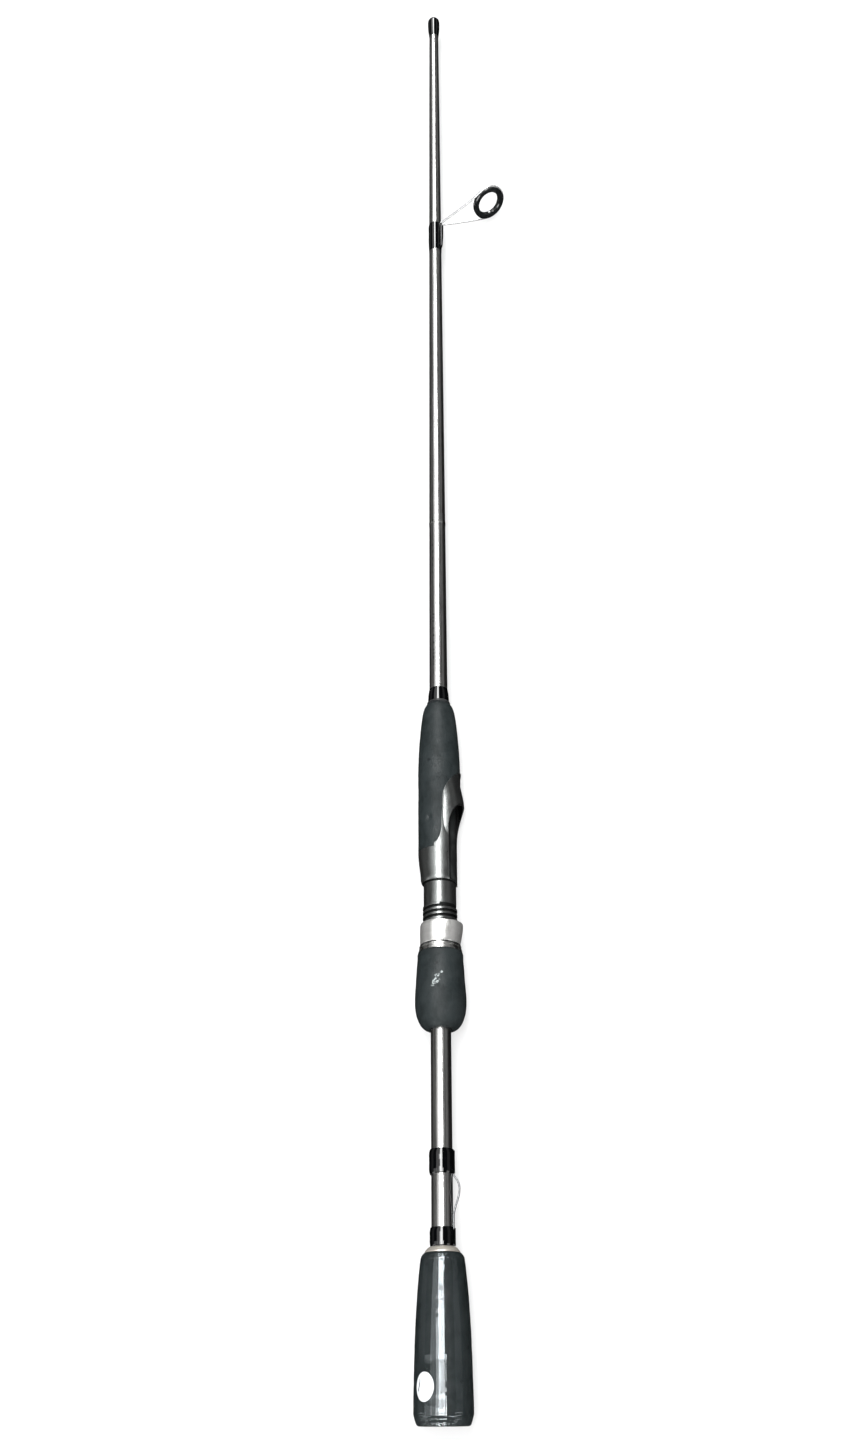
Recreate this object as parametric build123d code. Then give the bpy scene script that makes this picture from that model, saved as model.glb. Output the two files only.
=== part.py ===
from build123d import *
import math
import os

# Handle half of a two-piece spinning rod: tapered blank, foam grips,
# a screw-down reel seat, a hook keeper and the first line guide.
# Millimetres. +X runs from the butt to the tip along the rod's axis, +Z is up and
# the reel side faces -Y. The origin is the centre of the butt's end face.

os.makedirs("parts", exist_ok=True)

# ---------------------------------------------------------------- blank
BLANK_START = 4.0
BLANK_END = 1040.0
HANDLE_R = 5.45
SOCKET_R = 2.75
SOCKET_DEPTH = 60.0
PLUG_LENGTH = 14.0
PLUG_R = 4.3
# Outside radius at each station; the handle stretch is parallel.
BLANK_TAPER = [
    (0, HANDLE_R),
    (400, HANDLE_R),
    (520, 5.2),
    (660, 4.8),
    (760, 4.52),
    (850, 4.25),
    (940, 3.97),
    (1012, 3.68),
    (1040, 3.6),
]

# ---------------------------------------------------------------- butt grip
BUTT_LENGTH = 75.8
FILM_T = 0.3
BUTT_FACE_R = 11.6

# ---------------------------------------------------------------- reel seat
BARREL_R = 9.1
SEAT_BORE_R = 6.6
BARREL_REAR_X = 211.5
THREAD_END_X = 256.5
SHELL_REAR_X = 269.7
SHELL_R = 12.25
GRIP_REAR_X = 288.3
BARREL_FRONT_X = 362.0
GRIP_FRONT_X = 384.6
BED_Y = -7.8
BED_FLOOR_Y = -7.4
BED_HALF_WIDTH = 9.1
BED_CROWN_R = 9.3
BED_UNDER_R = 8.6
HOOD_OFFSET = 3.4
HOOD_R = 11.2
HOOD_CEILING_R = 10.2
HOOD_POCKET_X = 328.0
SADDLE_FRONT_X = 317.5

# ---------------------------------------------------------------- screw
PITCH = 2.8
THREAD_ROOT_R = 8.95
THREAD_CREST_R = 9.6
NUT_CREST_R = 9.25
NUT_ROOT_R = 9.98
THREAD_START_X = 214.8
NUT_THREAD_X = THREAD_START_X + PITCH / 2
NUT_THREAD_TURNS = 3.8

# ---------------------------------------------------------------- sliding hood and lock nut
HOOD_REAR_X = 233.6
HOOD_FRONT_X = 245.9
LINER_BORE_R = 9.95
LINER_R = 10.4
LIP_R = 10.95
LIP_X = 228.0
SLEEVE_R = 11.1
SLIDE_POCKET_X = 238.5
KEY_HALF_WIDTH = 0.9
KEYWAY_HALF_WIDTH = 1.25
NUT_REAR_X = 187.0
NUT_FRONT_X = 229.3
NUT_R = 11.8
COLLAR_FRONT_X = 233.3
BLANK_CLEARANCE = 0.35

# ---------------------------------------------------------------- guide
RING_X = 809.0
RING_Y = -41.25
RING_LEAN = 29.0
RING_BORE_R = 8.2
RING_OUTER_R = 12.4
HOOP_R = 12.6
STRIP_WIDTH = 1.9
STRIP_T = 0.95
FOOT_FRONT_X = 797.5
FOOT_REAR_X = 775.0

# ---------------------------------------------------------------- hook keeper
KEEPER_WIRE_R = 0.45
KEEPER_FRONT_X = 123.0
KEEPER_REAR_X = 79.5


def save(shape, name):
    """Write one named piece to its own file."""
    shape.label = name
    export_step(shape, "parts/" + name + ".step")


def blank_radius(x):
    """Outside radius of the blank, straight in the handle and tapered beyond it."""
    for (x0, r0), (x1, r1) in zip(BLANK_TAPER, BLANK_TAPER[1:]):
        if x <= x1:
            return r0 + (r1 - r0) * (x - x0) / (x1 - x0)
    return BLANK_TAPER[-1][1]


def turned(points):
    """Solid of revolution about the rod's axis from (x, radius) corners."""
    outline = Polyline(*[(x, r, 0) for x, r in points], close=True)
    return revolve(make_face(outline), Axis.X, 360)


def turned_spline(curve, corners):
    """Solid of revolution whose first side is a smooth curve and the rest are corners."""
    top = Spline(*[(x, r, 0) for x, r in curve])
    rest = Polyline(*[(x, r, 0) for x, r in [curve[-1]] + corners + [curve[0]]])
    return revolve(make_face(Curve() + [top, rest]), Axis.X, 360)


def ring(x0, x1, inner, outer, soften=0.0):
    """Plain ring with softened outer edges."""
    s = soften
    points = [(x0, inner), (x0, outer - s), (x0 + s, outer), (x1 - s, outer), (x1, outer - s), (x1, inner)]
    if s == 0:
        points = [(x0, inner), (x0, outer), (x1, outer), (x1, inner)]
    return turned(points)


def cylinder_x(x0, x1, radius, y=0.0):
    """Cylinder along X, its axis moved sideways by y."""
    return Pos(x0, y, 0) * extrude(Plane.YZ * Circle(radius), x1 - x0)


def block(x0, x1, y0, y1, half_z):
    """Box centred on the Z = 0 plane."""
    return Pos((x0 + x1) / 2, (y0 + y1) / 2, 0) * Box(x1 - x0, y1 - y0, 2 * half_z)


def blank_sleeve(x0, x1):
    """Solid core of the blank between two stations, used to bore the pieces that sit on it."""
    steps = sorted([x0, x1] + [s for s, _ in BLANK_TAPER if x0 < s < x1])
    return turned([(x0, 0)] + [(s, blank_radius(s)) for s in steps] + [(x1, 0)])


# ================================================================ blank
blank_outer = [(BLANK_START, HANDLE_R)] + BLANK_TAPER[1:]
blank_inner = [
    (BLANK_END, SOCKET_R),
    (BLANK_END - SOCKET_DEPTH, SOCKET_R),
    (BLANK_END - SOCKET_DEPTH - 4, 2.55),
    (850, 3.05),
    (660, 3.7),
    (400, PLUG_R),
    (BLANK_START, PLUG_R),
]
save(turned(blank_outer + blank_inner), "blank_tube")
save(cylinder_x(BLANK_START, BLANK_START + PLUG_LENGTH, PLUG_R), "blank_butt_plug")

ferrule = turned_spline(
    [(1018.5, 3.72), (1023, 4.15), (1028, 4.6), (1033, 4.74), (1037, 4.74), (1039.2, 4.45), (1040.0, 4.0)],
    [(1040.0, 2.0), (1018.5, 2.0)],
)
save(ferrule - blank_sleeve(1018, 1041), "ferrule_wrap")
save(ring(518.6, 520.6, 5.0, 5.33, 0.04) - blank_sleeve(518, 522), "trim_band")

# ================================================================ butt grip
def butt_shape(inset):
    """Rounded butt grip, shrunk all over by inset, closed at the butt end."""
    face_r = BUTT_FACE_R - 0.4 * inset
    flat = Line((inset, 0, 0), (inset, face_r, 0))
    crown = Spline(
        (inset, face_r, 0),
        (1.4 + inset * 0.5, 13.45 - inset * 0.9, 0),
        (4.5, 14.35 - inset, 0),
        (9.5, 14.58 - inset, 0),
        tangents=[(0, 1, 0), (1, 0, 0)],
    )
    body = Spline(
        (9.5, 14.58 - inset, 0),
        (19.7, 14.42 - inset, 0),
        (35, 14.03 - inset, 0),
        (51, 13.28 - inset, 0),
        (65, 12.15 - inset, 0),
        (71.5, 11.45 - inset, 0),
        tangents=[(1, 0, 0), (1, -0.12, 0)],
    )
    shoulder = Spline(
        (71.5, 11.45 - inset, 0),
        (74.4, 10.75 - inset, 0),
        (BUTT_LENGTH, 9.3 - inset, 0),
        tangents=[(1, -0.12, 0), (0.6, -1, 0)],
    )
    end = Polyline((BUTT_LENGTH, 9.3 - inset, 0), (BUTT_LENGTH, 0, 0), (inset, 0, 0))
    return revolve(make_face(Curve() + [flat, crown, body, shoulder, end]), Axis.X, 360)


butt_outer = butt_shape(0)
butt_inner = butt_shape(FILM_T)
save(butt_outer - butt_inner, "butt_grip_film")
save(butt_inner - cylinder_x(BLANK_START, BUTT_LENGTH + 1, HANDLE_R), "butt_grip")
butt_check = turned([
    (BUTT_LENGTH, HANDLE_R),
    (BUTT_LENGTH, 8.9),
    (BUTT_LENGTH + 0.6, 8.85),
    (BUTT_LENGTH + 2.1, 7.5),
    (BUTT_LENGTH + 2.7, 6.6),
    (BUTT_LENGTH + 2.7, HANDLE_R),
])
save(butt_check, "butt_winding_check")

STICKER_ANGLE = 23.2
sticker_skin = butt_shape(-0.12) - butt_outer
sticker_cut = Rot(STICKER_ANGLE * -1, 0, 0) * (Pos(16.4, 0, 0) * extrude(Ellipse(6.3, 5.1), 20))
save(sticker_skin & sticker_cut, "round_sticker")

# ================================================================ hook keeper
foot_y = -(HANDLE_R + KEEPER_WIRE_R + 0.03)
keeper_path = Curve() + [
    Line((KEEPER_REAR_X, foot_y, 0), (92.0, foot_y, 0)),
    Spline(
        (92.0, foot_y, 0),
        (96.6, foot_y - 0.75, 0),
        (101.0, foot_y - 2.25, 0),
        (105.4, -9.05, 0),
        (109.4, -8.2, 0),
        (112.0, foot_y - 0.45, 0),
        (113.6, foot_y, 0),
        tangents=[(1, 0, 0), (1, 0, 0)],
    ),
    Line((113.6, foot_y, 0), (KEEPER_FRONT_X, foot_y, 0)),
]
keeper_start = Plane(origin=(KEEPER_REAR_X, foot_y, 0), z_dir=(1, 0, 0))
keeper = sweep(keeper_start * Circle(KEEPER_WIRE_R), path=keeper_path)
save(keeper, "hook_keeper")


def keeper_wrap(x0, x1, radius, bump_x0, bump_x1):
    """Thread wrap with a rounded bulge over the keeper's foot."""
    mid = (x0 + x1) / 2
    body = turned_spline(
        [
            (x0, radius - 0.45),
            (x0 + 1.2, radius - 0.08),
            (mid, radius),
            (x1 - 1.2, radius - 0.08),
            (x1, radius - 0.45),
        ],
        [(x1, 3.0), (x0, 3.0)],
    )
    bulge = cylinder_x(bump_x0, bump_x1, KEEPER_WIRE_R + 0.45, foot_y)
    wire_groove = cylinder_x(70, 130, KEEPER_WIRE_R, foot_y)
    return (body + bulge) - cylinder_x(x0 - 1, x1 + 1, HANDLE_R) - wire_groove


save(keeper_wrap(BUTT_LENGTH + 2.7, 87.6, 6.3, 78.9, 87.2), "keeper_wrap_rear")
save(keeper_wrap(113.0, 125.2, 6.5, 113.4, 124.4), "keeper_wrap_front")

# ================================================================ reel seat
envelope = turned_spline(
    [
        (GRIP_REAR_X, SHELL_R - 0.05),
        (310, SHELL_R + 0.02),
        (330, SHELL_R + 0.1),
        (342, SHELL_R + 0.05),
        (350.7, 12.0),
        (358.7, 11.6),
        (366.8, 10.95),
        (375, 10.05),
        (380.4, 9.1),
        (383.2, 7.9),
        (GRIP_FRONT_X, 6.6),
    ],
    [(GRIP_FRONT_X, 0), (GRIP_REAR_X, 0)],
)
tail = turned_spline(
    [
        (SHELL_REAR_X, 9.95),
        (270.6, 10.4),
        (274.2, 10.85),
        (279.5, 11.45),
        (284.5, 11.98),
        (GRIP_REAR_X, SHELL_R - 0.05),
    ],
    [(GRIP_REAR_X, 0), (SHELL_REAR_X, 0)],
)

# The foam is cut away on the reel side along an S-shaped edge.
edge_points = [
    (287.5, 14.0),
    (288.6, 12.5),
    (290.3, 12.15),
    (293.5, 11.85),
    (297.0, 11.55),
    (303, 11.42),
    (317, 11.25),
    (324.2, 10.7),
    (329.8, 9.0),
    (334.9, 4.8),
]
edge_loop = edge_points + [(337.4, 0)] + [(x, -z) for x, z in reversed(edge_points)]
edge_curve = Spline(*[(x, z, 0) for x, z in edge_loop])
edge_back = Line((edge_loop[-1][0], edge_loop[-1][1], 0), (edge_loop[0][0], edge_loop[0][1], 0))
opening_face = make_face(Curve() + [edge_curve, edge_back])
opening = Rot(90, 0, 0) * extrude(opening_face, 30)

barrel = cylinder_x(THREAD_END_X, BARREL_FRONT_X, BARREL_R)
barrel_rear = cylinder_x(BARREL_REAR_X, THREAD_END_X, THREAD_ROOT_R)

hood_sections = [
    (347, 0.0, 11.3),
    (334, 0.5, 11.8),
    (326, 1.5, 11.6),
    (320, 2.9, 11.3),
    (314, HOOD_OFFSET, HOOD_R),
    (306, HOOD_OFFSET, HOOD_R),
    (298, 2.9, 10.95),
    (286, 1.6, 10.2),
]
hood_bump = loft([Pos(x, -e, 0) * (Plane.YZ * Circle(r)) for x, e, r in hood_sections])

shell = (envelope + hood_bump) & opening
shell = shell + tail

mouth_curve = Spline(
    (299.0, BED_Y, 0),
    (303.5, -8.15, 0),
    (308.0, -9.25, 0),
    (312.6, -11.15, 0),
    (316.4, -14.0, 0),
    (317.6, -17.0, 0),
    tangents=[(1, 0, 0), (0.3, -1, 0)],
)
mouth_rest = Polyline((317.6, -17.0, 0), (260, -17.0, 0), (260, BED_Y, 0), (299.0, BED_Y, 0))
mouth = Pos(0, 0, -20) * extrude(make_face(Curve() + [mouth_curve, mouth_rest]), 40)
shell = shell - mouth

pocket_sections = [(262, HOOD_OFFSET), (317.5, HOOD_OFFSET), (HOOD_POCKET_X, 1.3)]
pocket = loft([Pos(x, -e, 0) * (Plane.YZ * Circle(HOOD_CEILING_R)) for x, e in pocket_sections], ruled=True)
pocket = pocket & block(262, HOOD_POCKET_X, -16, BED_FLOOR_Y, 12)
bed_recess = block(262, HOOD_POCKET_X, -16, BED_FLOOR_Y, 9.25)
bed_recess = bed_recess & cylinder_x(262, HOOD_POCKET_X, BED_CROWN_R + 3)
shell = shell - pocket - (bed_recess - hood_bump)
seat = shell + barrel + barrel_rear

# Recess for the saddle, sunk a little below the barrel's surface.
saddle_zone = block(SHELL_REAR_X + 0.8, SADDLE_FRONT_X + 0.1, -16, BED_FLOOR_Y, BED_HALF_WIDTH + 0.05)
barrel_skin = cylinder_x(260, 340, BARREL_R + 0.05) - cylinder_x(260, 340, BED_UNDER_R)
seat = seat - (saddle_zone & barrel_skin)


def helical_ridge(x0, turns, base_r, tip_r, base_w, tip_w):
    """Trapezoid swept along a right-handed helix about the rod's axis, starting on +Z."""
    length = turns * PITCH
    path = Helix(pitch=PITCH, height=length, radius=base_r)
    corners = [
        (base_r, -base_w / 2),
        (tip_r, -tip_w / 2),
        (tip_r, tip_w / 2),
        (base_r, base_w / 2),
    ]
    section = Plane.XZ * make_face(Polyline(*[(r, -w, 0) for r, w in corners], close=True))
    ridge = sweep(section, path=path, is_frenet=True)
    return Pos(x0, 0, 0) * (Rot(0, 90, 0) * ridge)


thread_turns = (THREAD_END_X - 1.0 - THREAD_START_X) / PITCH
seat_ridge = helical_ridge(THREAD_START_X, thread_turns, THREAD_ROOT_R - 0.3, THREAD_CREST_R, 1.9, 1.15)
seat = seat + seat_ridge
seat = seat - cylinder_x(200, 370, SEAT_BORE_R)
seat = seat - block(224.0, 263.0, 8.45, 12.0, KEYWAY_HALF_WIDTH)
save(seat, "reel_seat_body")

saddle_rear_x = SHELL_REAR_X + 0.9
saddle_crown = cylinder_x(saddle_rear_x, SADDLE_FRONT_X, BED_CROWN_R)
saddle_crown = saddle_crown & block(260, 340, -16, BED_FLOOR_Y, BED_HALF_WIDTH)
saddle_flange = block(saddle_rear_x, SADDLE_FRONT_X, BED_Y, BED_FLOOR_Y, BED_HALF_WIDTH)
saddle = saddle_crown + saddle_flange - cylinder_x(260, 340, BED_UNDER_R)
save(saddle, "seat_saddle")

arbors = {
    "seat_arbor_rear": (212.5, 231.0),
    "seat_arbor_middle": (284.0, 306.0),
    "seat_arbor_front": (338.0, 361.0),
}
for name, (x0, x1) in arbors.items():
    save(ring(x0, x1, HANDLE_R, SEAT_BORE_R), name)

# ================================================================ fore grip
grip = envelope - opening - cylinder_x(280, BARREL_FRONT_X, BARREL_R) - cylinder_x(280, 390, HANDLE_R)
save(grip, "fore_grip")
save(ring(GRIP_FRONT_X, 386.2, HANDLE_R, 6.95, 0.3), "fore_grip_check")
fore_wrap = turned_spline(
    [(386.2, 6.3), (388.0, 6.28), (391.5, 6.1), (394.0, 5.8), (395.4, 5.5)],
    [(395.4, 3.0), (386.2, 3.0)],
)
save(fore_wrap - cylinder_x(380, 399, HANDLE_R), "fore_grip_wrap")

# ================================================================ sliding hood
liner = ring(LIP_X, HOOD_FRONT_X - 0.5, LINER_BORE_R, LINER_R)
liner = liner + ring(LIP_X, LIP_X + 1.0, LINER_BORE_R, LIP_R)
key = block(236.0, 241.0, 8.8, 10.2, KEY_HALF_WIDTH)
liner = liner + (key - cylinder_x(230, 250, 8.8))
foot_pocket = cylinder_x(SLIDE_POCKET_X, 250.0, 10.35, -1.45)
save(liner - foot_pocket, "sliding_hood_liner")

sleeve = turned([
    (HOOD_REAR_X, LINER_R),
    (HOOD_REAR_X, SLEEVE_R - 0.15),
    (HOOD_REAR_X + 0.3, SLEEVE_R),
    (244.6, SLEEVE_R),
    (245.6, SLEEVE_R - 0.35),
    (HOOD_FRONT_X, SLEEVE_R - 0.6),
    (HOOD_FRONT_X, LINER_R),
])
flare_sections = [(234.4, 0.0, 11.05), (238.0, 0.75, 11.1), (241.5, 1.3, 11.15), (245.2, 1.45, 11.15)]
flare = loft([Pos(x, -e, 0) * (Plane.YZ * Circle(r)) for x, e, r in flare_sections])
sleeve = sleeve + (flare - cylinder_x(230, 250, LINER_R))
save(sleeve - foot_pocket, "sliding_hood_sleeve")

# ================================================================ lock nut
nut_tube = turned([
    (NUT_REAR_X + 3.4, HANDLE_R + BLANK_CLEARANCE),
    (NUT_REAR_X + 3.4, 8.6),
    (NUT_REAR_X + 5.5, 10.2),
    (NUT_REAR_X + 9.5, NUT_R - 0.4),
    (NUT_REAR_X + 13.0, NUT_R),
    (NUT_FRONT_X, NUT_R),
    (NUT_FRONT_X, 11.25),
    (227.7, 11.25),
    (227.7, NUT_ROOT_R),
    (NUT_REAR_X + 6.4, NUT_ROOT_R),
    (NUT_REAR_X + 5.0, 8.4),
    (NUT_REAR_X + 5.0, HANDLE_R + BLANK_CLEARANCE),
])
nut_ridge = helical_ridge(NUT_THREAD_X, NUT_THREAD_TURNS, NUT_ROOT_R + 0.2, NUT_CREST_R, 1.0, 0.5)
save(nut_tube + nut_ridge, "locknut_core")

collar = turned([
    (NUT_FRONT_X, 10.7),
    (NUT_FRONT_X, 12.15),
    (231.0, 11.7),
    (231.2, 11.2),
    (231.7, 11.2),
    (231.8, 11.55),
    (232.6, 11.55),
    (232.6, 10.7),
])
save(collar, "locknut_collar")
save(ring(232.6, COLLAR_FRONT_X, 10.7, 11.3, 0.1), "locknut_washer")

rear_curve = [
    (NUT_REAR_X, 7.4),
    (187.6, 8.9),
    (189.2, 10.6),
    (192.4, 12.35),
    (195.7, 13.35),
    (199.0, 13.85),
    (202.8, 13.98),
    (208.9, 13.68),
    (215.6, 13.24),
    (222.3, 12.84),
    (226.5, 12.6),
    (228.6, 12.4),
    (NUT_FRONT_X - 0.1, 12.0),
]
rear_grip = turned_spline(
    rear_curve,
    [
        (NUT_FRONT_X - 0.1, NUT_R),
        (NUT_REAR_X + 13.0, NUT_R),
        (NUT_REAR_X + 9.5, NUT_R - 0.4),
        (NUT_REAR_X + 5.5, 10.2),
        (NUT_REAR_X + 3.4, 8.6),
        (NUT_REAR_X + 3.4, HANDLE_R + BLANK_CLEARANCE),
        (NUT_REAR_X, HANDLE_R + BLANK_CLEARANCE),
    ],
)
save(rear_grip, "rear_grip")

# ================================================================ guide
lean = math.radians(RING_LEAN)
along = Vector(math.sin(lean), -math.cos(lean), 0)
facing = Vector(math.cos(lean), math.sin(lean), 0)
centre = Vector(RING_X, RING_Y, 0)
ring_plane = Plane(origin=centre, x_dir=along, z_dir=facing)


def ring_point(u, v, w):
    """Point given along the guide's height, across it and through it."""
    return centre + along * u + Vector(0, 0, 1) * v + facing * w


ring_section = Polyline(
    (RING_BORE_R + 0.3, -1.05),
    (RING_BORE_R + 0.9, -1.45),
    (RING_OUTER_R - 0.7, -1.45),
    (RING_OUTER_R - 0.1, -1.1),
    (RING_OUTER_R, -0.5),
    (HOOP_R - STRIP_T / 2 - 0.05, -0.45),
    (HOOP_R - STRIP_T / 2 - 0.05, 1.6),
    (HOOP_R - 1.1, 2.2),
    (RING_BORE_R + 0.9, 2.2),
    (RING_BORE_R + 0.2, 1.7),
    (RING_BORE_R, 0.8),
    (RING_BORE_R, -0.4),
    close=True,
)
ring_body = revolve(Plane.XZ * make_face(ring_section), Axis.Z, 360)
save(ring_plane * ring_body, "guide_ring")

hoop_w = STRIP_WIDTH / 2 - 0.45
foot_point = Vector(FOOT_FRONT_X, -(blank_radius(FOOT_FRONT_X) + 0.75), 0)
foot_u = (foot_point - centre).dot(along)
foot_w = (foot_point - centre).dot(facing)
half = math.acos(HOOP_R / abs(foot_u))
side_u = -HOOP_R * math.cos(half)
side_v = HOOP_R * math.sin(half)
tangent_u = -math.sin(half)
tangent_v = -math.cos(half)


def leg(sign):
    """One leg of the frame, from the foot to the hoop."""
    start = ring_point(foot_u, sign * 0.95, foot_w)
    finish = ring_point(side_u, sign * side_v, hoop_w)
    middle_u = 0.5 * (foot_u + side_u)
    middle = ring_point(middle_u, sign * (0.95 + side_v) / 2, hoop_w + 0.36 * (foot_w - hoop_w))
    out = along * (-tangent_u) + Vector(0, 0, sign) * (-tangent_v)
    return Spline(start, middle, finish, tangents=[out - facing * 0.28, out]), start, out - facing * 0.28


leg_a, start_a, direction_a = leg(1)
leg_b, start_b, direction_b = leg(-1)
hoop = ThreePointArc(
    ring_point(side_u, side_v, hoop_w),
    ring_point(HOOP_R, 0, hoop_w),
    ring_point(side_u, -side_v, hoop_w),
)
frame_path = Wire([leg_a.edges()[0], hoop.edges()[0], leg_b.edges()[0]])
strip_plane = Plane(origin=start_a, x_dir=facing, z_dir=direction_a)
frame_wire = sweep(strip_plane * RectangleRounded(STRIP_WIDTH, STRIP_T, 0.35), path=frame_path)
foot_top = -(blank_radius(FOOT_FRONT_X) + 0.05)
foot = loft([
    Pos(FOOT_REAR_X, foot_top - 0.33, 0) * (Plane.YZ * Rectangle(0.5, 1.2)),
    Pos(784.0, foot_top - 0.5, 0) * (Plane.YZ * Rectangle(0.85, 2.4)),
], ruled=True) + block(784.0, FOOT_FRONT_X + 0.4, foot_top - 0.95, foot_top - 0.075, 1.6)
foot = foot - blank_sleeve(770, 800)
save(frame_wire + foot - blank_sleeve(770, 800), "guide_frame")

guide_wrap = turned_spline(
    [(768.5, 4.56), (772, 4.68), (777.0, 4.86), (782, 4.9), (790.0, 4.88), (795.4, 4.82), (796.4, 4.68)],
    [(796.4, 2.5), (768.5, 2.5)],
)
foot_cover = loft([
    Pos(771.0, foot_top + 0.6, 0) * (Plane.YZ * RectangleRounded(1.0, 1.8, 0.3)),
    Pos(775.0, foot_top - 0.1, 0) * (Plane.YZ * RectangleRounded(1.6, 2.8, 0.5)),
    Pos(784.0, foot_top - 0.45, 0) * (Plane.YZ * RectangleRounded(1.8, 3.9, 0.6)),
    Pos(796.2, foot_top - 0.5, 0) * (Plane.YZ * RectangleRounded(1.8, 4.4, 0.6)),
], ruled=True)
save(guide_wrap + foot_cover - blank_sleeve(765, 800) - foot, "guide_wrap")
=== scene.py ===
import math

import bmesh
import bpy
import numpy as np
from mathutils import Matrix, Vector, noise


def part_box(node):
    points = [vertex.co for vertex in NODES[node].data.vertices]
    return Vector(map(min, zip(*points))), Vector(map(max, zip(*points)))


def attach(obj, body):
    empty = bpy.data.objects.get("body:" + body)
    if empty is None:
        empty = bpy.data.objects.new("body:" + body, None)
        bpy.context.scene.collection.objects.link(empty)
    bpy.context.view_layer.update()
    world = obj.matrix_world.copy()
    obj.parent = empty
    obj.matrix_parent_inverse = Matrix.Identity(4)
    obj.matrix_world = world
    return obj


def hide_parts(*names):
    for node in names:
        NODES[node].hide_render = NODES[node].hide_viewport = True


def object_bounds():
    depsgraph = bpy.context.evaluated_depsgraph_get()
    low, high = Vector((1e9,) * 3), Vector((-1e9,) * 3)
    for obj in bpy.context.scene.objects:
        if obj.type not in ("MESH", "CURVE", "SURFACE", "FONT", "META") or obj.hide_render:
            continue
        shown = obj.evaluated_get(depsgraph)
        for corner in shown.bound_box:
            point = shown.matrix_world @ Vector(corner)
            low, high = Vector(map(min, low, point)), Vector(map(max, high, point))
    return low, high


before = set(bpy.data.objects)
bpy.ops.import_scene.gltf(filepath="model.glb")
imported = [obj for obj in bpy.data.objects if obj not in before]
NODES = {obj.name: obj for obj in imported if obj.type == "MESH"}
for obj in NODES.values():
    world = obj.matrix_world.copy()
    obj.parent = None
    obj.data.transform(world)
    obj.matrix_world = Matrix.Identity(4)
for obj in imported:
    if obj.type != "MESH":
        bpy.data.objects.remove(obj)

CAD_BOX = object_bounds()

# Angles about the rod start at the top, +Z, and rise towards the guide side, -Y.
CAMERA_TURN = math.radians(15.0)

# Places along the rod, and radii from its axis, in metres.
TICKS_X = (0.411, 0.452)
FAR_TICKS_X = (0.476, 0.507)
NICK_X = (0.9855, 0.9885)
THREAD_X = (0.2116, 0.2562)
THREAD_FLANK_R = (0.00930, 0.00958)
SHELL_STEP_X = (0.26865, 0.2698)
SHELL_REAR_X = (0.2680, 0.2704)
BARREL_SKIN_R = (0.0094, 0.0098)
MOUTH_X = (0.296, 0.298)
MOUTH_Y = (-0.0094, -0.0088)
GRIP_SKIN_R = 0.0135
LABEL_SKIN_R = 0.0146
LABEL_CREASE_X = (0.0125, 0.0195)
LABEL_CREASE_ARC = (-0.0078, -0.0070)
FOLDED_SIDE = math.radians(58.0)
FILM_RIDGE = math.radians(31.0)

THREAD_PITCH = 0.00018  # of the wraps' thread
TAPE_PITCH = 0.0031  # of the blank's spiral
FILM_WALL = 0.00012
FOAM_UNEVEN = 0.00012


# ---------------------------------------------------------------- node graphs

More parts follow.
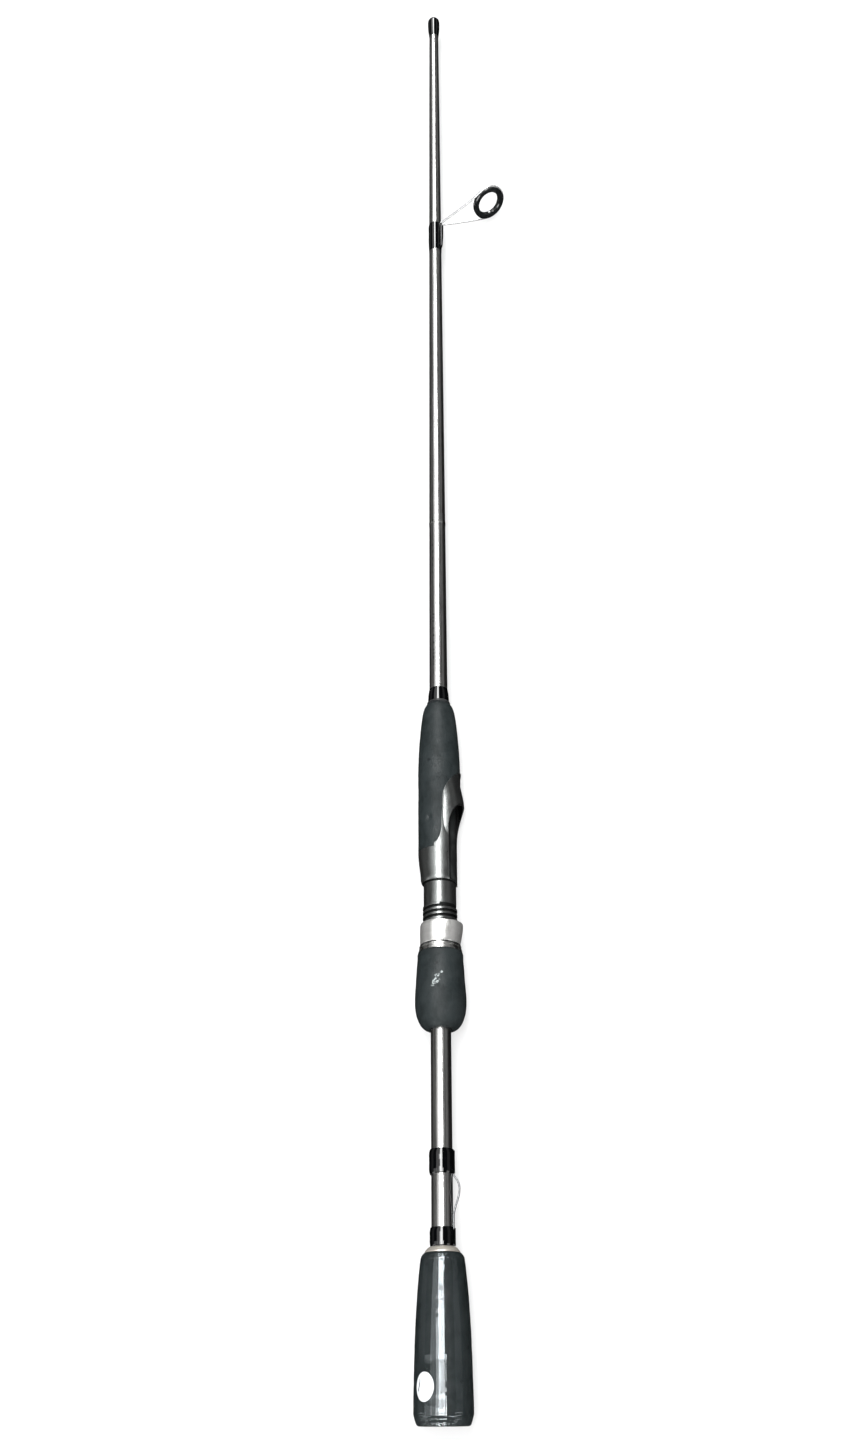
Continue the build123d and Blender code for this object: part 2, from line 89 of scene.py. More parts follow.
class Finish:
    """A Principled material, with short calls for the nodes that vary it."""

    def __init__(self, name, **sockets):
        self.material = bpy.data.materials.new(name)
        self.material.use_nodes = True
        self.tree = self.material.node_tree
        self.shader = self.tree.nodes["Principled BSDF"]
        self.here = self.add("ShaderNodeTexCoord").outputs["Object"]
        for socket, value in sockets.items():
            if isinstance(value, tuple) and len(value) == 3:
                value = (*value, 1.0)
            self.shader.inputs[socket.replace("_", " ")].default_value = value

    def add(self, kind, **settings):
        node = self.tree.nodes.new(kind)
        for key, value in settings.items():
            setattr(node, key, value)
        return node

    def feed(self, socket, value):
        """A link from an output, or a plain value, into an input socket."""
        if isinstance(value, bpy.types.NodeSocket):
            self.tree.links.new(value, socket)
        else:
            socket.default_value = value

    def math(self, operation, a, b=0.0, c=0.0):
        node = self.add("ShaderNodeMath", operation=operation)
        for socket, value in zip(node.inputs, (a, b, c)):
            self.feed(socket, value)
        return node.outputs[0]

    def place(self, stretch):
        """Object coordinates scaled along each axis, in features per metre."""
        node = self.add("ShaderNodeMapping")
        node.inputs["Scale"].default_value = stretch
        self.feed(node.inputs["Vector"], self.here)
        return node.outputs[0]

    def noise(self, stretch, detail=3.0, rough=0.5, twist=0.0):
        node = self.add("ShaderNodeTexNoise")
        node.inputs["Scale"].default_value = 1.0
        node.inputs["Detail"].default_value = detail
        node.inputs["Roughness"].default_value = rough
        node.inputs["Distortion"].default_value = twist
        self.feed(node.inputs["Vector"], self.place(stretch))
        return node.outputs[0]

    def cells(self, stretch, feature="F1", output="Distance"):
        node = self.add("ShaderNodeTexVoronoi", feature=feature)
        node.inputs["Scale"].default_value = 1.0
        self.feed(node.inputs["Vector"], self.place(stretch))
        return node.outputs[output]

    def axes(self):
        """(x, y, z): along the rod, across it and up."""
        node = self.add("ShaderNodeSeparateXYZ")
        self.feed(node.inputs[0], self.here)
        return node.outputs[0], node.outputs[1], node.outputs[2]

    def turn(self):
        """Angle about the rod's axis: 0 at the top, rising towards the guide side."""
        x, y, z = self.axes()
        return self.math("ARCTAN2", self.math("MULTIPLY", y, -1.0), z)

    def turn_metres(self, radius):
        """Arc length round the rod at that radius, from the top towards the guide side."""
        return self.both(self.turn(), radius)

    def rise(self, value, low, high, start=0.0, end=1.0):
        """A smooth step from start, at low, to end, at high."""
        node = self.add("ShaderNodeMapRange", interpolation_type="SMOOTHSTEP")
        self.feed(node.inputs["Value"], value)
        node.inputs["From Min"].default_value = low
        node.inputs["From Max"].default_value = high
        node.inputs["To Min"].default_value = start
        node.inputs["To Max"].default_value = end
        return node.outputs["Result"]

    def band(self, value, low, high, edge):
        """1 between low and high and 0 outside, with soft edges."""
        up = self.rise(value, low - edge, low + edge)
        down = self.rise(value, high - edge, high + edge, 1.0, 0.0)
        return self.math("MULTIPLY", up, down)

    def both(self, a, b):
        return self.math("MULTIPLY", a, b)

    def blend(self, share, a, b):
        node = self.add("ShaderNodeMix", data_type="RGBA")
        self.feed(node.inputs[0], share)
        for socket, colour in ((node.inputs[6], a), (node.inputs[7], b)):
            self.feed(socket, (*colour, 1.0) if isinstance(colour, tuple) else colour)
        return node.outputs[2]

    def wave(self, value, length):
        """0..1 and back, once every length of value."""
        turns = self.math("MULTIPLY", value, math.tau / length)
        return self.math("MULTIPLY_ADD", self.math("SINE", turns), 0.5, 0.5)

    def relief(self, height, depth, under=None, socket="Normal"):
        """Bump of that depth, in metres, on top of an earlier one."""
        node = self.add("ShaderNodeBump")
        node.inputs["Distance"].default_value = depth
        self.feed(node.inputs["Height"], height)
        if under is not None:
            self.feed(node.inputs["Normal"], under)
        self.feed(self.shader.inputs[socket], node.outputs[0])
        return node.outputs[0]

    def colour(self, value):
        self.feed(self.shader.inputs["Base Color"], value)

    def roughness(self, value):
        self.feed(self.shader.inputs["Roughness"], value)


# ------------------------------------------------------------------ materials

def blank_metal():
    """Satin gunmetal paint: lengthwise grain, a faint tape spiral, scuffs and plain tick marks."""
    f = Finish("blank_metal", Metallic=1.0, Coat_Weight=0.3, Coat_Roughness=0.12, Coat_IOR=1.5)
    x, y, z = f.axes()
    turn = f.turn()
    grain = f.noise((25.0, 2600.0, 2600.0), detail=4.0, rough=0.6)
    clouds = f.noise((18.0, 160.0, 160.0), detail=3.0)
    tone = f.blend(f.rise(grain, 0.3, 0.7), (0.56, 0.56, 0.55), (0.70, 0.70, 0.685))
    tone = f.blend(f.rise(clouds, 0.45, 0.75, 0.0, 0.35), tone, (0.46, 0.46, 0.45))
    scuffs = f.rise(f.noise((90.0, 1500.0, 1500.0), detail=5.0, rough=0.7, twist=0.6), 0.66, 0.72)
    tone = f.blend(f.both(scuffs, 0.5), tone, (0.20, 0.20, 0.195))

    tick_row = f.band(turn, math.radians(-22.0), math.radians(-10.0), math.radians(1.5))
    tick_pitch = f.rise(f.wave(f.math("ADD", x, f.both(grain, 0.0006)), 0.0026), 0.55, 0.72)
    worn = f.rise(f.noise((420.0, 300.0, 300.0), detail=2.0), 0.42, 0.56)
    ticks = f.both(f.both(tick_row, tick_pitch), f.both(worn, f.band(x, *TICKS_X, 0.0006)))
    far_row = f.band(turn, math.radians(-24.0), math.radians(-19.0), math.radians(1.0))
    far_pitch = f.rise(f.wave(x, 0.0052), 0.6, 0.75)
    far_ticks = f.both(far_row, f.both(far_pitch, f.band(x, *FAR_TICKS_X, 0.0006)))
    print_dark = f.math("MAXIMUM", ticks, f.both(far_ticks, 0.8))
    tone = f.blend(print_dark, tone, (0.055, 0.058, 0.056))

    nick_side = f.band(turn, math.radians(30.0), math.radians(52.0), 0.06)
    nick = f.both(f.band(x, *NICK_X, 0.0008), nick_side)
    tone = f.blend(nick, tone, (0.85, 0.85, 0.84))
    f.colour(tone)

    shine = f.rise(grain, 0.25, 0.75, 0.24, 0.32)
    shine = f.math("ADD", shine, f.both(scuffs, 0.18))
    f.roughness(f.math("MAXIMUM", shine, f.both(print_dark, 0.5)))
    spiral = f.wave(f.math("ADD", x, f.both(turn, TAPE_PITCH / math.tau)), TAPE_PITCH)
    under = f.relief(spiral, 1.2e-6)
    under = f.relief(grain, 4e-6, under)
    f.relief(f.math("MAXIMUM", scuffs, nick), -12e-6, under)
    return f.material


def thread_wrap():
    """Black thread laid side by side, under a clear rod-builder's epoxy."""
    f = Finish("wrap_epoxy", Roughness=0.6, Specular_IOR_Level=0.0,
               Coat_Weight=1.0, Coat_Roughness=0.02, Coat_IOR=1.72)
    x, y, z = f.axes()
    lay = f.math("ADD", x, f.both(f.turn(), THREAD_PITCH / math.tau))
    threads = f.wave(lay, THREAD_PITCH)
    patches = f.noise((260.0, 260.0, 260.0), detail=3.0)
    tone = f.blend(threads, (0.0009, 0.00099, 0.00117), (0.0020, 0.0022, 0.0026))
    tone = f.blend(f.rise(patches, 0.5, 0.8, 0.0, 0.5), tone, (0.0045, 0.005, 0.006))
    f.colour(tone)
    f.relief(threads, 22e-6)
    waves = f.noise((110.0, 240.0, 240.0), detail=1.0)
    f.relief(waves, 14e-6, socket="Coat Normal")
    return f.material


def eva_foam(name, dust=0.35, scuff=None):
    """Closed-cell EVA foam: sanded skin with open cells and nicks, mottled charcoal, rubbed and dusty."""
    f = Finish(name, Specular_IOR_Level=0.24)
    cells = f.cells((2400.0, 2400.0, 2400.0))
    pores = f.rise(f.cells((1150.0, 1150.0, 1150.0)), 0.02, 0.3, 1.0, 0.0)
    fine = f.noise((3200.0, 3200.0, 3200.0), detail=3.0, rough=0.7)
    mottle = f.noise((210.0, 210.0, 210.0), detail=5.0, rough=0.62, twist=0.5)
    clouds = f.noise((55.0, 75.0, 75.0), detail=3.0, rough=0.55)
    rubs = f.noise((48.0, 420.0, 420.0), detail=4.0, rough=0.65, twist=1.2)
    tone = f.blend(f.rise(mottle, 0.32, 0.70), (0.0070, 0.0104, 0.0110), (0.0135, 0.0186, 0.0196))
    tone = f.blend(f.rise(clouds, 0.42, 0.66, 0.0, 0.7), tone, (0.0205, 0.0255, 0.0265))
    tone = f.blend(f.rise(rubs, 0.58, 0.78, 0.0, dust), tone, (0.042, 0.050, 0.052))
    tone = f.blend(f.rise(fine, 0.66, 0.8, 0.0, 0.45), tone, (0.056, 0.062, 0.064))
    # Painted shade: the pores here, and the nicks below, are painted darker, as shade in their pits.
    tone = f.blend(f.both(pores, 0.75), tone, (0.006, 0.0075, 0.008))
    nick_cells = f.rise(f.cells((170.0, 170.0, 170.0)), 0.10, 0.24, 1.0, 0.0)
    nicks = f.both(nick_cells, f.rise(f.noise((75.0, 95.0, 95.0), detail=1.0), 0.55, 0.62))
    tone = f.blend(f.both(nicks, 0.8), tone, (0.006, 0.008, 0.009))
    rough = f.rise(clouds, 0.35, 0.7, 0.60, 0.43)
    if scuff is not None:
        tone, rough = scuffed(f, tone, rough, scuff)
    f.colour(tone)
    f.roughness(rough)
    under = f.relief(f.math("ADD", mottle, f.both(nicks, -1.5)), 90e-6)
    under = f.relief(f.math("ADD", cells, f.both(pores, -1.2)), 70e-6, under)
    f.relief(fine, 28e-6, under)
    return f.material


def scuffed(f, tone, rough, strokes):
    """Pale scrapes. A stroke is its middle, along the rod and round it, its half length and its slant."""
    x, y, z = f.axes()
    round_rod = f.turn_metres(GRIP_SKIN_R)
    ragged = f.math("SUBTRACT", f.noise((520.0, 700.0, 700.0), detail=5.0, rough=0.7), 0.5)
    scrape = 0.0
    for middle_x, middle_round, half_length, slant in strokes:
        along = f.math("SUBTRACT", x, middle_x)
        across = f.math("SUBTRACT", round_rod, middle_round)
        run = f.math("ADD", f.both(along, math.cos(slant)), f.both(across, math.sin(slant)))
        side = f.math("SUBTRACT", f.both(across, math.cos(slant)), f.both(along, math.sin(slant)))
        side = f.math("ABSOLUTE", f.math("MULTIPLY_ADD", ragged, 0.0045, side))
        ends = f.rise(f.math("ABSOLUTE", run), 0.6 * half_length, half_length, 1.0, 0.0)
        stroke = f.both(f.rise(side, 0.0001, 0.0007, 1.0, 0.0), ends)
        scrape = f.math("MAXIMUM", scrape, stroke)
    scrape = f.both(scrape, f.rise(f.noise((1500.0, 1500.0, 1500.0), detail=3.0), 0.36, 0.52))
    return f.blend(scrape, tone, (0.36, 0.40, 0.40)), f.math("ADD", rough, f.both(scrape, 0.1))


def shrink_film():
    """Clear shrink film: thin, glossy and tight, with dust caught beneath it."""
    f = Finish("film_gloss", Metallic=1.0, Roughness=0.05, Base_Color=(0.90, 0.96, 1.0))
    specks = f.rise(f.cells((900.0, 900.0, 900.0)), 0.05, 0.11, 1.0, 0.0)
    few = f.rise(f.noise((120.0, 170.0, 170.0), detail=2.0), 0.62, 0.68)
    haze = f.rise(f.noise((40.0, 260.0, 260.0), detail=3.0, twist=0.8), 0.35, 0.8, 0.040, 0.062)
    dust = f.both(f.both(specks, few), 0.55)
    f.feed(f.shader.inputs["Alpha"], f.math("ADD", haze, dust))
    f.roughness(f.rise(f.noise((60.0, 300.0, 300.0), detail=4.0), 0.4, 0.7, 0.045, 0.10))
    ripple = f.noise((16.0, 210.0, 210.0), detail=2.0, twist=0.4)
    under = f.relief(ripple, 0.00007)
    f.relief(f.noise((260.0, 260.0, 260.0), detail=3.0), 6e-6, under)
    return f.material


def seat_paint():
    """Silver metallic paint on the moulded seat, clouded and rubbed, with painted shade, near black, in its
    thread grooves, at the shell's rear step and face and inside the hood's mouth.
    """
    f = Finish("seat_paint", Metallic=0.97, Coat_Weight=0.06, Coat_Roughness=0.3)
    flake = f.cells((5200.0, 5200.0, 5200.0), output="Color")
    flake_light = f.add("ShaderNodeSeparateColor")
    f.feed(flake_light.inputs[0], flake)
    worn = f.noise((150.0, 330.0, 330.0), detail=5.0, rough=0.68, twist=1.0)
    clouds = f.noise((70.0, 110.0, 110.0), detail=3.0)
    scratch = f.rise(f.noise((140.0, 4200.0, 4200.0), detail=3.0, twist=0.2), 0.68, 0.74)
    tone = f.blend(flake_light.outputs[0], (0.180, 0.188, 0.185), (0.245, 0.255, 0.251))
    tone = f.blend(f.rise(worn, 0.5, 0.72, 0.0, 0.55), tone, (0.35, 0.362, 0.356))
    tone = f.blend(f.rise(clouds, 0.5, 0.8, 0.0, 0.45), tone, (0.120, 0.128, 0.126))
    tone = f.blend(f.both(scratch, 0.45), tone, (0.62, 0.62, 0.61))

    x, y, z = f.axes()
    radius = f.math("SQRT", f.math("ADD", f.both(y, y), f.both(z, z)))
    # Painted shade: the thread grooves, the barrel at the shell's step, the shell's rear face and the inside
    # of the hood's mouth are painted near black.
    in_thread = f.both(f.band(x, *THREAD_X, 0.0004), f.rise(radius, *THREAD_FLANK_R, 1.0, 0.0))
    at_step = f.both(f.band(x, *SHELL_STEP_X, 0.0002), f.rise(radius, *BARREL_SKIN_R, 1.0, 0.0))
    facing = f.add("ShaderNodeSeparateXYZ")
    f.feed(facing.inputs[0], f.add("ShaderNodeTexCoord").outputs["Normal"])
    towards_rod = f.both(f.rise(facing.outputs[1], 0.05, 0.3), f.rise(y, *MOUTH_Y, 1.0, 0.0))
    inside = f.both(towards_rod, f.rise(x, *MOUTH_X))
    faces_butt = f.rise(facing.outputs[0], -0.85, -0.6, 1.0, 0.0)
    rear_face = f.both(f.band(x, *SHELL_REAR_X, 0.0002), faces_butt)
    recess_shade = f.math("MAXIMUM", rear_face, f.math("MAXIMUM", in_thread, at_step))
    painted_shade = f.math("MAXIMUM", inside, f.both(recess_shade, 0.97))
    # The painted shade goes on here as near-black colour.
    f.colour(f.blend(painted_shade, tone, (0.006, 0.0065, 0.0065)))
    f.roughness(f.math("ADD", f.rise(worn, 0.35, 0.72, 0.37, 0.27), f.both(painted_shade, 0.3)))
    under = f.relief(flake_light.outputs[0], 2.5e-6)
    under = f.relief(worn, 26e-6, under)
    f.relief(scratch, -6e-6, under)
    return f.material


def satin_plastic(name, base, light, rough=0.42):
    """Moulded black plastic with a fine spark-eroded grain and greasy patches."""
    f = Finish(name, Specular_IOR_Level=0.2)
    grain = f.noise((2600.0, 2600.0, 2600.0), detail=3.0, rough=0.65)
    touch = f.noise((110.0, 150.0, 150.0), detail=4.0, twist=0.7)
    tone = f.blend(f.rise(touch, 0.4, 0.7), base, light)
    f.colour(f.blend(f.rise(grain, 0.62, 0.8, 0.0, 0.3), tone, tuple(2.2 * c for c in light)))
    f.roughness(f.rise(touch, 0.35, 0.7, rough + 0.08, rough - 0.1))
    under = f.relief(grain, 16e-6)
    f.relief(touch, 40e-6, under)
    return f.material


def turned_metal(name, base, dark, rough=0.13, wear=0.5, metal=1.0):
    """Metal turned on a lathe: fine rings round the axis, with scratches, dings and tarnish; the scratches
    and dings are painted lighter, partly as painted glints.
    """
    f = Finish(name, Metallic=metal)
    rings = f.noise((7000.0, 60.0, 60.0), detail=2.0)
    tarnish = f.noise((230.0, 330.0, 330.0), detail=5.0, rough=0.7, twist=1.4)
    scratch_a = f.rise(f.noise((320.0, 2600.0, 2600.0), detail=3.0, twist=0.5), 0.67, 0.72)
    scratch_b = f.rise(f.cells((520.0, 420.0, 420.0), feature="DISTANCE_TO_EDGE"), 0.004, 0.016, 1.0, 0.0)
    rare = f.rise(f.noise((180.0, 260.0, 260.0), detail=1.0), 0.60, 0.66)
    marks = f.math("MAXIMUM", scratch_a, f.both(scratch_b, rare))
    tone = f.blend(f.rise(rings, 0.35, 0.65), tuple(0.88 * c for c in base), base)
    tone = f.blend(f.rise(tarnish, 0.52, 0.75, 0.0, wear), tone, dark)
    # Scratches and dings painted lighter: real marks, partly painted glints.
    f.colour(f.blend(f.both(marks, 0.6), tone, tuple(min(1.0, 1.25 * c) for c in base)))
    f.roughness(f.math("ADD", f.rise(tarnish, 0.4, 0.75, rough, rough + 0.16), f.both(marks, 0.12)))
    under = f.relief(rings, 1.6e-6)
    f.relief(marks, -9e-6, under)
    return f.material


def wire_steel(name, dull, bright, metal=1.0):
    """Bent stainless wire and strip: drawn along its length, bright, with small tool marks."""
    f = Finish(name, Metallic=metal)
    drawn = f.noise((300.0, 900.0, 900.0), detail=2.0, rough=0.5)
    marks = f.rise(f.noise((700.0, 700.0, 700.0), detail=4.0, rough=0.7), 0.62, 0.70)
    tone = f.blend(f.rise(drawn, 0.3, 0.7), dull, bright)
    f.colour(f.blend(f.both(marks, 0.5), tone, tuple(0.8 * c for c in dull)))
    f.roughness(f.math("ADD", f.rise(drawn, 0.3, 0.7, 0.18, 0.28), f.both(marks, 0.15)))
    f.relief(f.math("ADD", drawn, marks), 4e-6)
    return f.material


def ring_ceramic():
    """Polished black guide ring, with fine grit and a cloudy bloom."""
    f = Finish("ring_ceramic", Coat_Weight=0.6, Coat_Roughness=0.03, Specular_IOR_Level=0.7)
    grit = f.noise((3800.0, 3800.0, 3800.0), detail=2.0)
    bloom = f.noise((170.0, 170.0, 170.0), detail=4.0, twist=0.6)
    tone = f.blend(f.rise(bloom, 0.4, 0.75), (0.0075, 0.0082, 0.0085), (0.019, 0.0205, 0.021))
    f.colour(f.blend(f.rise(grit, 0.66, 0.8, 0.0, 0.5), tone, (0.05, 0.052, 0.053)))
    f.roughness(f.rise(bloom, 0.35, 0.75, 0.10, 0.24))
    f.relief(bloom, 8e-6, f.relief(grit, 1.5e-6))
    return f.material


def champagne_check():
    """Anodised winding check: warm silver, machined rings, dulled by stains."""
    f = Finish("check_anodised", Metallic=0.72)
    rings = f.noise((5200.0, 80.0, 80.0), detail=2.0)
    stain = f.noise((330.0, 330.0, 330.0), detail=5.0, rough=0.7, twist=1.0)
    tone = f.blend(f.rise(rings, 0.35, 0.65), (0.60, 0.555, 0.485), (0.78, 0.735, 0.66))
    f.colour(f.blend(f.rise(stain, 0.5, 0.75, 0.0, 0.7), tone, (0.42, 0.385, 0.335)))
    f.roughness(f.rise(stain, 0.35, 0.75, 0.30, 0.48))
    f.relief(stain, 14e-6, f.relief(rings, 2.5e-6))
    return f.material


def label_paper():
    """A plain white paper dot: fibres, grubby patches and a crease where it lifts."""
    f = Finish("label_paper", Specular_IOR_Level=0.3)
    fibre = f.noise((1800.0, 900.0, 900.0), detail=4.0, rough=0.7, twist=1.5)
    grime = f.noise((420.0, 420.0, 420.0), detail=4.0, rough=0.65, twist=0.8)
    x, y, z = f.axes()
    wander = f.noise((240.0, 240.0, 240.0), detail=2.0)
    bend = f.math("MULTIPLY_ADD", wander, 0.0035, f.turn_metres(LABEL_SKIN_R))
    crease = f.band(bend, *LABEL_CREASE_ARC, 0.0002)
    crease = f.both(crease, f.band(x, *LABEL_CREASE_X, 0.0012))
    crease = f.both(crease, f.rise(grime, 0.40, 0.52))
    tone = f.blend(fibre, (0.52, 0.54, 0.56), (0.66, 0.67, 0.68))
    tone = f.blend(f.rise(grime, 0.62, 0.78, 0.0, 0.35), tone, (0.36, 0.38, 0.40))
    # The crease is painted dark: painted shade in the fold.
    f.colour(f.blend(f.both(crease, 0.9), tone, (0.06, 0.07, 0.08)))
    f.roughness(f.rise(fibre, 0.3, 0.7, 0.55, 0.75))
    f.relief(crease, -60e-6, f.relief(fibre, 14e-6))
    return f.material


def inner_plastic(name, tint):
    """Plain moulded inner pieces: slight flow marks and a dull, dusty skin."""
    f = Finish(name, Specular_IOR_Level=0.4)
    flow = f.noise((160.0, 500.0, 500.0), detail=4.0, twist=0.8)
    f.colour(f.blend(f.rise(flow, 0.35, 0.7), tuple(0.75 * c for c in tint), tint))
    f.roughness(f.rise(flow, 0.35, 0.7, 0.62, 0.48))
    f.relief(flow, 18e-6)
    return f.material


# --------------------------------------------------------------- made in mesh

def new_object(name, mesh, material, body):
    obj = bpy.data.objects.new(name, mesh)
    bpy.context.scene.collection.objects.link(obj)
    mesh.materials.clear()
    mesh.materials.append(material)
    for polygon in mesh.polygons:
        polygon.use_smooth = True
    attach(obj, body)
    return obj


def points_of(mesh):
    flat = np.zeros(len(mesh.vertices) * 3)
    mesh.vertices.foreach_get("co", flat)
    return flat.reshape(-1, 3)


def remeshed(node, voxel):
    """A closed, even mesh of a CAD node, its sharp edges slightly rounded."""
    work = bpy.data.objects.new("remesh_work", NODES[node].data.copy())
    bpy.context.scene.collection.objects.link(work)
    remesh = work.modifiers.new("voxels", "REMESH")
    remesh.mode = "VOXEL"
    remesh.voxel_size = voxel
    cling = work.modifiers.new("cling", "SHRINKWRAP")
    cling.target = NODES[node]
    cling.wrap_method = "NEAREST_SURFACEPOINT"
    mesh = bpy.data.meshes.new_from_object(work.evaluated_get(bpy.context.evaluated_depsgraph_get()))
    bpy.data.objects.remove(work)
    return mesh


def refined(node, longest):
    """A CAD node's mesh with its long edges split, so that its skin can be worked."""
    bm = bmesh.new()
    bm.from_mesh(NODES[node].data)
    bmesh.ops.remove_doubles(bm, verts=bm.verts, dist=1e-6)
    for limit in (8.0 * longest, 4.0 * longest, 2.0 * longest, longest):
        edges = [e for e in bm.edges if e.calc_length() > limit]
        bmesh.ops.subdivide_edges(bm, edges=edges, cuts=1)
        bmesh.ops.triangulate(bm, faces=bm.faces)
    mesh = bpy.data.meshes.new(node + "_refined")
    bm.to_mesh(mesh)
    bm.free()
    return mesh


def foam_grip(name, node, body, material, crisp=False, dents=()):
    """A sanded foam grip: the CAD solid's shape with an uneven skin and dents; crisp keeps its cut edges.

    A dent is its place along the rod, its angle in degrees, its reach and its depth.
    """
    mesh = refined(node, 0.0010) if crisp else remeshed(node, 0.0005)
    co = points_of(mesh)
    radius = np.hypot(co[:, 1], co[:, 2])
    turn = np.arctan2(-co[:, 1], co[:, 2])
    outward = np.stack([np.zeros(len(co)), co[:, 1] / radius, co[:, 2] / radius], axis=1)
    skin = np.clip((radius - 0.0075) / 0.0015, 0.0, 1.0)
    shift = np.zeros(len(co))
    for i, point in enumerate(co):
        p = Vector(point)
        shift[i] = FOAM_UNEVEN * (0.7 * noise.noise(p * 95.0) + 0.5 * noise.noise(p * 310.0) - 0.6)
    for at_x, at_turn, reach, depth in dents:
        round_rod = (turn - math.radians(at_turn)) * 0.0125
        shift -= depth * np.exp(-((co[:, 0] - at_x) ** 2 + round_rod ** 2) / reach ** 2)
    co += outward * (shift * skin)[:, None]
    mesh.vertices.foreach_set("co", co.ravel())
    mesh.update()
    obj = new_object(name, mesh, material, body)
    if crisp:
        mesh.set_sharp_from_angle(angle=math.radians(38.0))
    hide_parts(node)
    return obj


def outer_profile(node, stations):
    """The node's outer radius at each station along the rod."""
    co = points_of(NODES[node].data)
    radius = np.hypot(co[:, 1], co[:, 2])
    keys = np.round(co[:, 0], 5)
    xs = np.unique(keys)
    rs = np.array([radius[keys == x].max() for x in xs])
    fine = np.linspace(xs[0], xs[-1], 1501)
    inner = np.interp(fine, xs, rs)
    reach = np.arange(-40, 41)
    kernel = np.exp(-0.5 * (reach / 14.0) ** 2)
    eased = np.convolve(np.pad(inner, 40, mode="edge"), kernel / kernel.sum(), mode="valid")
    away_from_ends = np.clip(np.minimum(fine - fine[0] - 0.004, fine[-1] - 0.005 - fine) / 0.003, 0.0, 1.0)
    return np.interp(stations, fine, inner + (eased - inner) * away_from_ends)


def film_sleeve(name, node, body, material):
    """The shrink film on the butt grip: a thin closed skin, folded at its ends, with a lengthwise ridge."""
    low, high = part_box(node)
    along, around = 150, 192
    ease = (1.0 - np.cos(np.linspace(0.0, math.pi, along))) / 2.0
    stations = low.x + (high.x - low.x) * (0.15 * np.linspace(0.0, 1.0, along) + 0.85 * ease)
    radii = outer_profile(node, stations)
    rng = np.random.default_rng(7)
    folds = [(rng.integers(5, 19), rng.uniform(0.0, math.tau), rng.uniform(0.4, 1.0)) for _ in range(5)]

    def pull(x, turn):
        """How far the film is drawn in, in metres."""
        front = math.exp(-(high.x - x) / 0.0042)
        rear = math.exp(-(x - low.x) / 0.0030)
        gather = sum(weight * math.sin(count * turn + phase) for count, phase, weight in folds) / 3.0
        side = max(0.0, math.cos(turn - FOLDED_SIDE)) ** 4
        bunched = math.sin(26.0 * turn + 500.0 * (high.x - x)) * math.sin(900.0 * (high.x - x) + 3.0 * turn)
        tuck = 0.00012 * (front + rear) * (1.0 + gather) - 0.00042 * front * side * (0.8 + bunched)
        flats = 0.000035 * (1.0 + math.sin(9.0 * turn + 0.8 * math.sin(x * 70.0)))
        ridge_turn = FILM_RIDGE + 4.0 * (x - 0.055)
        ridge_grows = min(1.0, max(0.0, (x - 0.034) / 0.01))
        ridge = 0.00012 * math.exp(-((turn - ridge_turn) / 0.045) ** 2) * ridge_grows
        return tuck + flats + ridge

    bm = bmesh.new()
    layers = []
    for depth in (0.0, FILM_WALL):
        rows = []
        for x, r in zip(stations, radii):
            row = []
            for k in range(around):
                turn = math.tau * k / around
                turn = turn - math.tau if turn > math.pi else turn
                here = r - pull(x, turn) - depth
                row.append(bm.verts.new((x, -here * math.sin(turn), here * math.cos(turn))))
            rows.append(row)
        layers.append(rows)
    for outside, rows in ((True, layers[0]), (False, layers[1])):
        for lower, upper in zip(rows, rows[1:]):
            for k in range(around):
                n = (k + 1) % around
                quad = (lower[k], lower[n], upper[n], upper[k])
                bm.faces.new(quad if outside else quad[::-1])
    for outer, inner in ((layers[0][0], layers[1][0]), (layers[1][-1], layers[0][-1])):
        for k in range(around):
            n = (k + 1) % around
            bm.faces.new((outer[n], outer[k], inner[k], inner[n]))
    bmesh.ops.recalc_face_normals(bm, faces=bm.faces)
    mesh = bpy.data.meshes.new(name)
    bm.to_mesh(mesh)
    bm.free()
    obj = new_object(name, mesh, material, body)
    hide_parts(node)
    return obj


def dress(material, *nodes):
    for node in nodes:
        slots = NODES[node].material_slots
        for slot in slots:
            slot.material = material
        if not slots:
            NODES[node].data.materials.append(material)


# ---------------------------------------------------------------------- studio

def beside_rod(x, turn, distance):
    """The point at that distance from the rod's axis and angle about it."""
    return Vector((x, -distance * math.sin(turn), distance * math.cos(turn)))


def softbox(name, start, end, width, radiance, aim=None):
    """A rectangular light, its middle line from start to end, facing the rod's axis or the point aim."""
    data = bpy.data.lights.new(name, "AREA")
    data.shape = "RECTANGLE"
    data.size = (end - start).length
    data.size_y = width
    data.energy = radiance * data.size * data.size_y * math.pi
    obj = bpy.data.objects.new(name, data)
    bpy.context.scene.collection.objects.link(obj)
    middle = (start + end) / 2.0
    length = (end - start).normalized()
    back = middle - aim if aim is not None else Vector((0.0, middle.y, middle.z))
    back = (back - length * back.dot(length)).normalized()
    side = back.cross(length)
    facing = Matrix((length, side, back)).transposed()
    obj.matrix_world = Matrix.Translation(middle) @ facing.to_4x4()
    obj.visible_camera = False
    return obj


